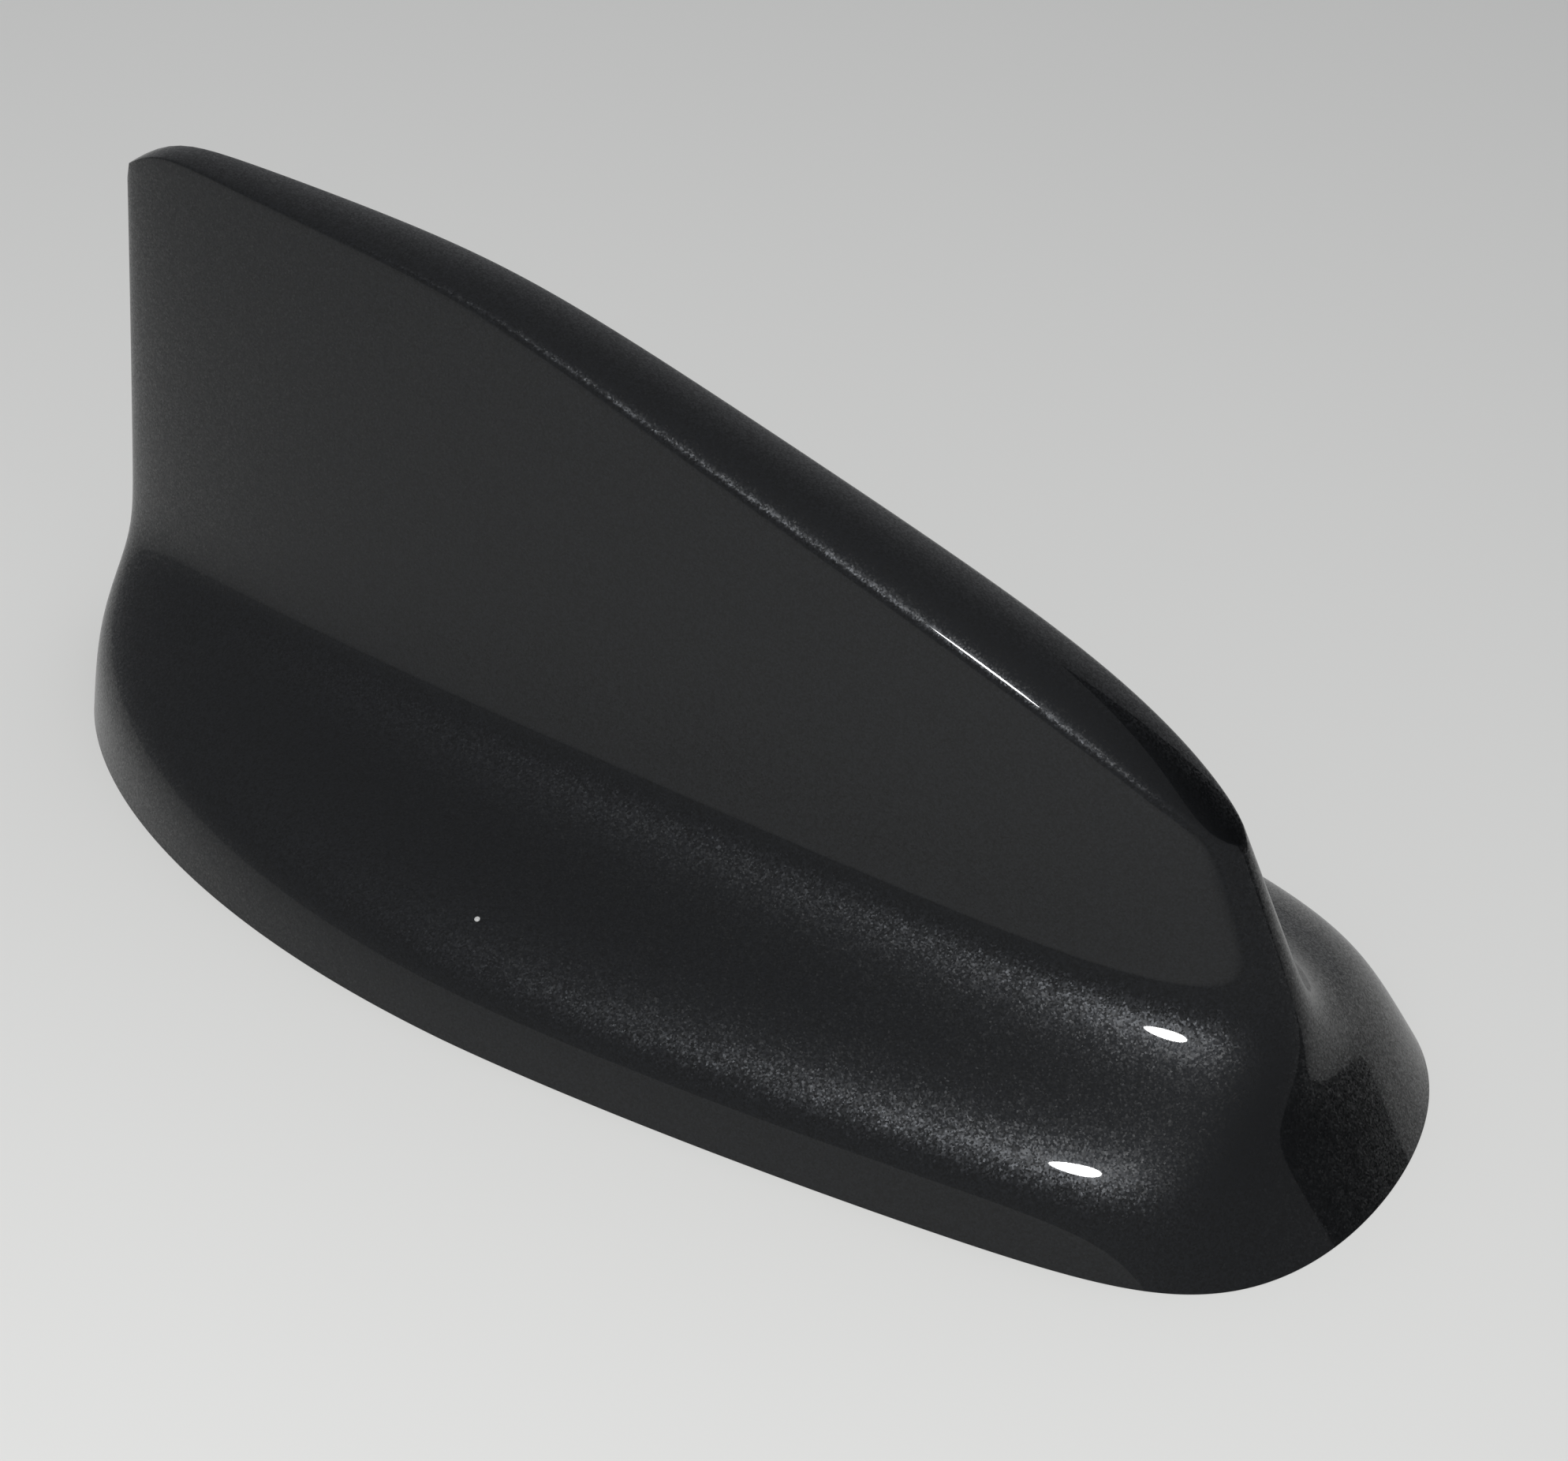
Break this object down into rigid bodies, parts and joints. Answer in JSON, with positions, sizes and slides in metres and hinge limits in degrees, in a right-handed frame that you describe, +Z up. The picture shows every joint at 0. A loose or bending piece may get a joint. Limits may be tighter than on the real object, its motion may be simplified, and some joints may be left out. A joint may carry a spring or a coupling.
{
  "type": "roof antenna cover",
  "caption": "Hollow shark-fin cover of a car roof antenna: a narrow fin under a sloping crest flares into a low oval skirt that clips over a base on the roof.",
  "frame": {"origin": "middle of the rim's bounding rectangle, on the plane of the rim", "axes": "+Z up from the rim to the crest, +X along the cover towards its nose, and the cover is the same on both sides of the XZ plane"},
  "size_m": [0.165, 0.0766, 0.068],
  "materials": {
    "painted_plastic": "gloss"
  },
  "bodies": {
    "root": {"cover": "painted_plastic"}
  },
  "joints": []
}
